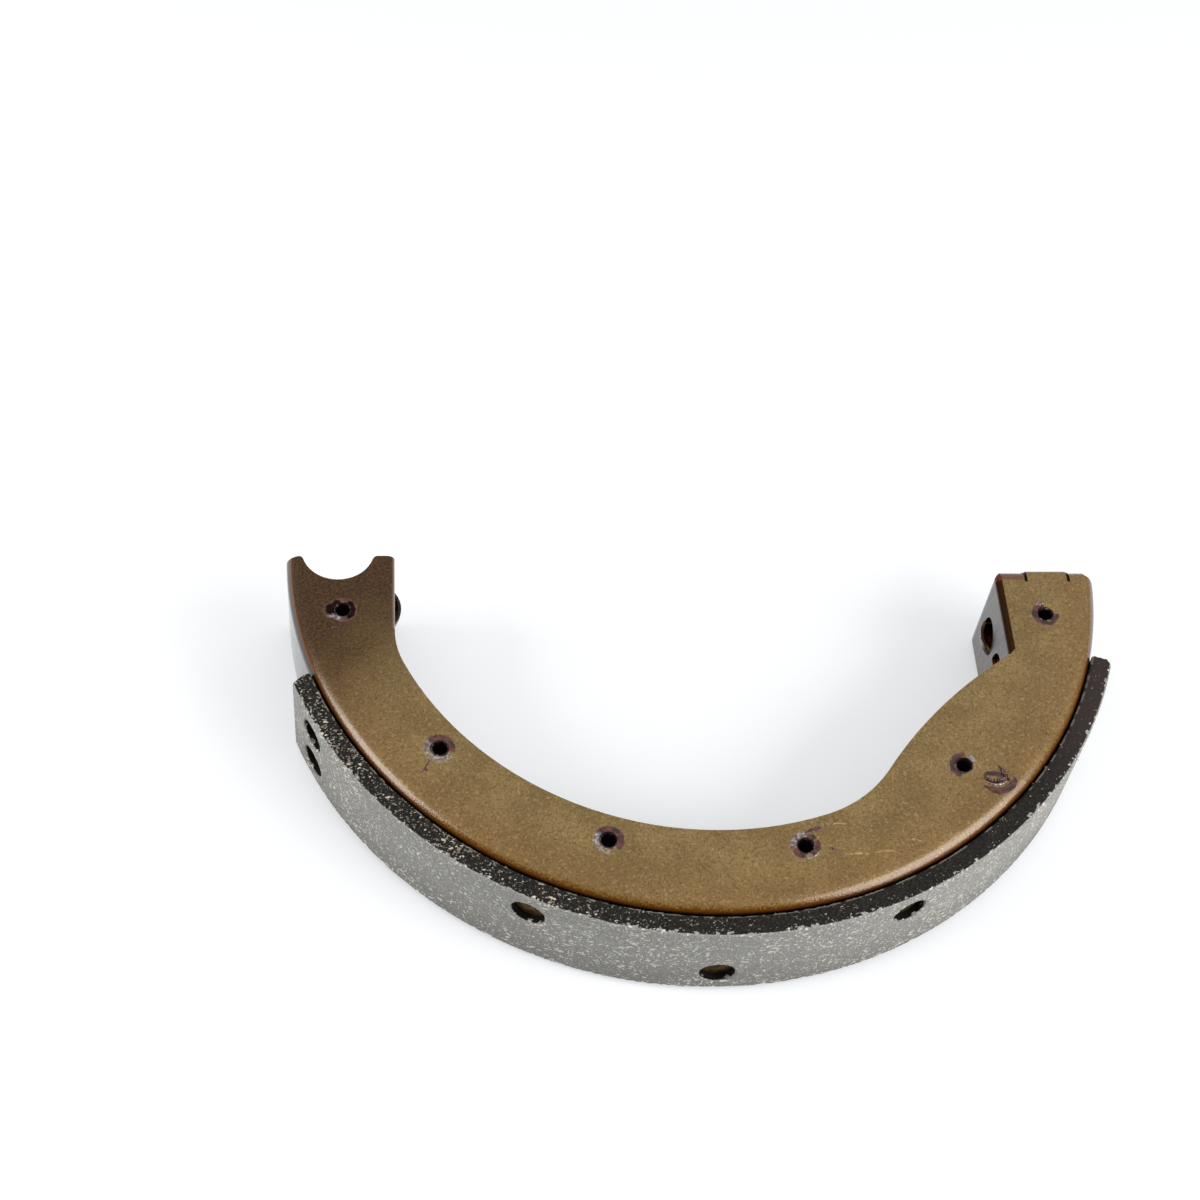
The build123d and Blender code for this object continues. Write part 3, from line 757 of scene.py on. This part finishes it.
def rough_lining():
    """The worn lining, which takes the place of the smooth one."""
    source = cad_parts["lining"]
    piece = bpy.data.objects.new("lining_worn", source.data.copy())
    bpy.context.scene.collection.objects.link(piece)
    remesh = piece.modifiers.new("remesh", "REMESH")
    remesh.mode = "VOXEL"
    remesh.voxel_size = LINING_VOXEL
    graph = bpy.context.evaluated_depsgraph_get()
    mesh = bpy.data.meshes.new_from_object(piece.evaluated_get(graph))
    piece.modifiers.clear()
    piece.data = mesh
    mesh.materials.clear()
    mesh.materials.append(COMPOUND)
    bores = [(low + high) / 2 for low, high in map(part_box, nodes_named("lining_rivet_"))]
    mesh.attributes.new("bore", "FLOAT", "POINT").data.foreach_set(
        "value", [in_bore(vertex.co, bores) for vertex in mesh.vertices])
    moved = []
    for vertex, normal in zip(mesh.vertices, mesh.vertex_normals):
        moved.append(worn_place(vertex.co, normal.vector))
    for vertex, place in zip(mesh.vertices, moved):
        vertex.co = place
    for polygon in mesh.polygons:
        polygon.use_smooth = True
    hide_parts("lining")
    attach(piece, "root")


def in_bore(place, bores):
    """1 on the wall of a rivet's hole, 0 elsewhere."""
    for centre in bores:
        out = Vector((centre.x, centre.y, 0.0)).normalized()
        off = place - centre
        along = off.x * out.x + off.y * out.y
        if along > -BORE_DEPTH and (off - out * off.dot(out)).length < BORE_REACH:
            return 1.0
    return 0.0


def worn_place(place, normal):
    """Where wear leaves a point of the lining: rough sides, a ground face, chipped edges."""
    radius = math.hypot(place.x, place.y)
    outward = Vector((place.x / radius, place.y / radius, 0.0))
    from_face = DRUM_RADIUS - radius
    from_rim = radius - LINING_INNER_RADIUS
    from_top = LINING_HIGH.z - place.z
    from_foot = place.z - LINING_LOW.z
    on_face = smooth_step(0.3 * MM, 0.1 * MM, from_face)
    depth = SIDE_ROUGHNESS + (FACE_ROUGHNESS - SIDE_ROUGHNESS) * on_face
    coarse = noise.noise(place / (0.9 * MM))
    fine = noise.noise(place / (0.45 * MM) + Vector((5.0, 3.0, 1.0)))
    shift = normal * (depth * (0.65 * coarse + 0.35 * fine))
    for side, other, inward in (
        (from_face, from_top, Vector((-outward.x, -outward.y, -1.0))),
        (from_face, from_foot, Vector((-outward.x, -outward.y, 1.0))),
        (from_rim, from_top, Vector((0.0, 0.0, -1.0))),
    ):
        away = max(side, other)
        if away < CHIP_REACH:
            spot = noise.noise(place / (1.6 * MM) + Vector((0.0, 9.0, 4.0)))
            chips = max(spot - 0.18, 0.0) / 0.5
            wear = CHIP_WEAR + CHIP_DEPTH * chips
            shift += inward.normalized() * (wear * (1.0 - away / CHIP_REACH) ** 1.5)
    return place + shift


def crumb(shape, place, size, seed):
    """One rough crumb of compound, added to the bmesh."""
    made = bmesh.ops.create_icosphere(shape, subdivisions=2, radius=size)["verts"]
    for vertex in made:
        spot = vertex.co.normalized()
        swell = 1.0 + 0.55 * noise.noise(spot * 1.6 + Vector((seed * 3.7, seed * 1.3, 0.0)))
        vertex.co = Vector((spot.x * 1.25, spot.y * 0.8, spot.z * 0.7)) * size * swell
        vertex.co.rotate(Matrix.Rotation(seed * 1.7, 3, "Z"))
        vertex.co += place


FIBRE_STEPS = 6
FIBRE_SIDES = 6
FIBRE_RADIUS = 0.11 * MM     # at its root


def fibre(shape, radius, angle, length, lean, seed):
    """A short bent fibre that sticks out of the lining's outer edge, added to the bmesh."""
    start = polar(radius, angle, LINING_HIGH.z - 0.25 * MM)
    heading = polar(1.0, angle + lean, 0.25)
    side = Vector((-heading.y, heading.x, 0.0)).normalized()
    up = heading.cross(side).normalized()
    rings = []
    for step in range(FIBRE_STEPS + 1):
        share = step / FIBRE_STEPS
        middle = start + heading * (length * share) + side * (0.3 * length * share * share)
        uneven = 1.0 + 0.3 * noise.noise(Vector((share * 5.0, seed, 0.0)))
        thick = FIBRE_RADIUS * (1.0 - 0.65 * share) * uneven
        rings.append([
            shape.verts.new(middle + (side * math.cos(turn) + up * math.sin(turn)) * thick)
            for turn in (2.0 * math.pi * corner / FIBRE_SIDES for corner in range(FIBRE_SIDES))
        ])
    for near, far in zip(rings, rings[1:]):
        for corner in range(FIBRE_SIDES):
            after = (corner + 1) % FIBRE_SIDES
            shape.faces.new((near[corner], near[after], far[after], far[corner]))
    shape.faces.new(rings[0][::-1])
    shape.faces.new(rings[-1])


INNER_EDGE = LINING_INNER_RADIUS + 0.25 * MM
OUTER_EDGE = DRUM_RADIUS - 0.25 * MM
CRUMBS = (  # radius, angle in degrees, size in mm
    (INNER_EDGE, -42.0, 0.42), (INNER_EDGE, -38.5, 0.5), (INNER_EDGE, -34.2, 0.4),
    (INNER_EDGE, -31.0, 0.3), (INNER_EDGE, -47.5, 0.32), (INNER_EDGE, -101.0, 0.28),
    (INNER_EDGE, -84.0, 0.3), (INNER_EDGE, -119.5, 0.3), (OUTER_EDGE, -36.4, 0.36),
    (OUTER_EDGE, -44.0, 0.28), (OUTER_EDGE, -112.0, 0.3), (OUTER_EDGE, -140.5, 0.34),
    (OUTER_EDGE, -148.0, 0.3), (OUTER_EDGE, -96.0, 0.26),
)
FIBRES = (  # angle in degrees, length in mm, lean to one side in degrees
    (-37.2, 1.0, 40.0), (-38.8, 0.8, -35.0), (-40.1, 0.7, 20.0), (-34.9, 0.8, -30.0),
    (-43.4, 0.6, 30.0), (-139.0, 0.7, -40.0), (-147.2, 0.8, 30.0),
)


def lining_crumbs():
    """Crumbs that hang on the lining's upper edges, and some loose fibres."""
    shape = bmesh.new()
    for seed, (radius, angle, size) in enumerate(CRUMBS, start=1):
        crumb(shape, polar(radius, angle, LINING_HIGH.z - 0.05 * MM), size * MM, seed)
    for seed, (angle, length, lean) in enumerate(FIBRES, start=1):
        fibre(shape, OUTER_EDGE, angle, length * MM, lean, seed)
    bmesh.ops.recalc_face_normals(shape, faces=shape.faces)
    mesh = bpy.data.meshes.new("lining_crumbs")
    shape.to_mesh(mesh)
    shape.free()
    add_piece("lining_crumbs", mesh, COMPOUND)


paint_details()
rough_lining()
lining_crumbs()


# ---- floor, light and camera --------------------------------------------------------------------
FLOOR_SIZE = 4.0
FLOOR_COLOUR = (0.60, 0.615, 0.63, 1.0)
FLOOR_LIFT = 0.36                # the floor's own light, for the camera and reflections only
SKY_COLOUR = (0.97, 0.985, 1.0, 1.0)
BRIGHT_SKY = (0.0, 0.6, 1.0)     # the side on which the world is bright
SKY_FADE = (0.05, 0.95)          # of the dot product with that side
SKY_LOW = 0.06
SKY_HIGH = 0.8
SHOE_MIDDLE = Vector((0.0, -0.045, 0.015))
# Soft boxes: place, width, height, power in watts.
RIGHT_BOX = (SHOE_MIDDLE + Vector((0.54, -0.3375, 0.375)), 0.60, 0.50, 5.9)
LEFT_BOX = (SHOE_MIDDLE + Vector((-0.66, -0.09, 0.3375)), 0.42, 0.38, 3.6)


def make_floor():
    """A pale paper floor, on which the shoe's shadow falls."""
    bpy.ops.mesh.primitive_plane_add(size=FLOOR_SIZE, location=(0, 0, 0))
    floor = bpy.context.object
    floor.name = "floor"
    finish = Finish("floor_paper")
    path = finish.node("ShaderNodeLightPath")
    seen = finish.math("MAXIMUM", path.outputs["Is Camera Ray"], path.outputs["Is Glossy Ray"])
    seen = finish.math("MAXIMUM", seen, path.outputs["Is Transmission Ray"])
    finish.set(
        Base_Color=FLOOR_COLOUR,
        Roughness=1.0,
        Specular_IOR_Level=0.0,
        Emission_Color=(1.0, 1.0, 1.0, 1.0),
        Emission_Strength=finish.math("MULTIPLY", seen, FLOOR_LIFT),
    )
    floor.data.materials.append(finish.material)


def softbox(name, place, width, height, power):
    """A rectangle of soft light that faces the shoe."""
    lamp = bpy.data.lights.new(name, "AREA")
    lamp.shape = "RECTANGLE"
    lamp.size = width
    lamp.size_y = height
    lamp.energy = power
    holder = bpy.data.objects.new(name, lamp)
    bpy.context.scene.collection.objects.link(holder)
    holder.location = place
    holder.rotation_euler = (SHOE_MIDDLE - place).to_track_quat("-Z", "Y").to_euler()


def make_world():
    """A pale studio that is bright above and behind the shoe and dim low down in front of it."""
    world = bpy.data.worlds.new("studio")
    bpy.context.scene.world = world
    world.use_nodes = True
    tree = world.node_tree
    background = tree.nodes["Background"]
    direction = tree.nodes.new("ShaderNodeTexCoord").outputs["Generated"]
    towards = tree.nodes.new("ShaderNodeVectorMath")
    towards.operation = "DOT_PRODUCT"
    towards.inputs[1].default_value = BRIGHT_SKY
    tree.links.new(direction, towards.inputs[0])
    fade = tree.nodes.new("ShaderNodeMapRange")
    fade.interpolation_type = "SMOOTHSTEP"
    tree.links.new(towards.outputs["Value"], fade.inputs["Value"])
    for index, number in enumerate((*SKY_FADE, SKY_LOW, SKY_HIGH), start=1):
        fade.inputs[index].default_value = number
    # The camera sees it plain and pale; only the shoe sees where it is bright.
    path = tree.nodes.new("ShaderNodeLightPath")
    brighter = tree.nodes.new("ShaderNodeMath")
    brighter.operation = "MAXIMUM"
    tree.links.new(fade.outputs["Result"], brighter.inputs[0])
    tree.links.new(path.outputs["Is Camera Ray"], brighter.inputs[1])
    tree.links.new(brighter.outputs[0], background.inputs["Strength"])
    background.inputs["Color"].default_value = SKY_COLOUR


def make_camera():
    """The camera at the photograph's place, with its roll."""
    azimuth = math.radians(CAMERA_AZIMUTH)
    elevation = math.radians(CAMERA_ELEVATION)
    roll = math.radians(CAMERA_ROLL)
    forward = Vector((
        math.sin(azimuth) * math.cos(elevation),
        math.cos(azimuth) * math.cos(elevation),
        -math.sin(elevation),
    ))
    level_right = Vector((math.cos(azimuth), -math.sin(azimuth), 0.0))
    level_up = level_right.cross(forward)
    right = level_right * math.cos(roll) + level_up * math.sin(roll)
    up = level_up * math.cos(roll) - level_right * math.sin(roll)
    lens = bpy.data.cameras.new("camera")
    lens.lens = CAMERA_LENS
    lens.sensor_width = SENSOR_WIDTH
    camera = bpy.data.objects.new("camera", lens)
    bpy.context.scene.collection.objects.link(camera)
    turn = Matrix((right, up, -forward)).transposed().to_4x4()
    camera.matrix_world = Matrix.Translation(CAMERA_PLACE) @ turn
    bpy.context.scene.camera = camera


make_floor()
make_world()
softbox("right_box", *RIGHT_BOX)
softbox("left_box", *LEFT_BOX)
make_camera()
bpy.context.scene.view_settings.view_transform = "Standard"
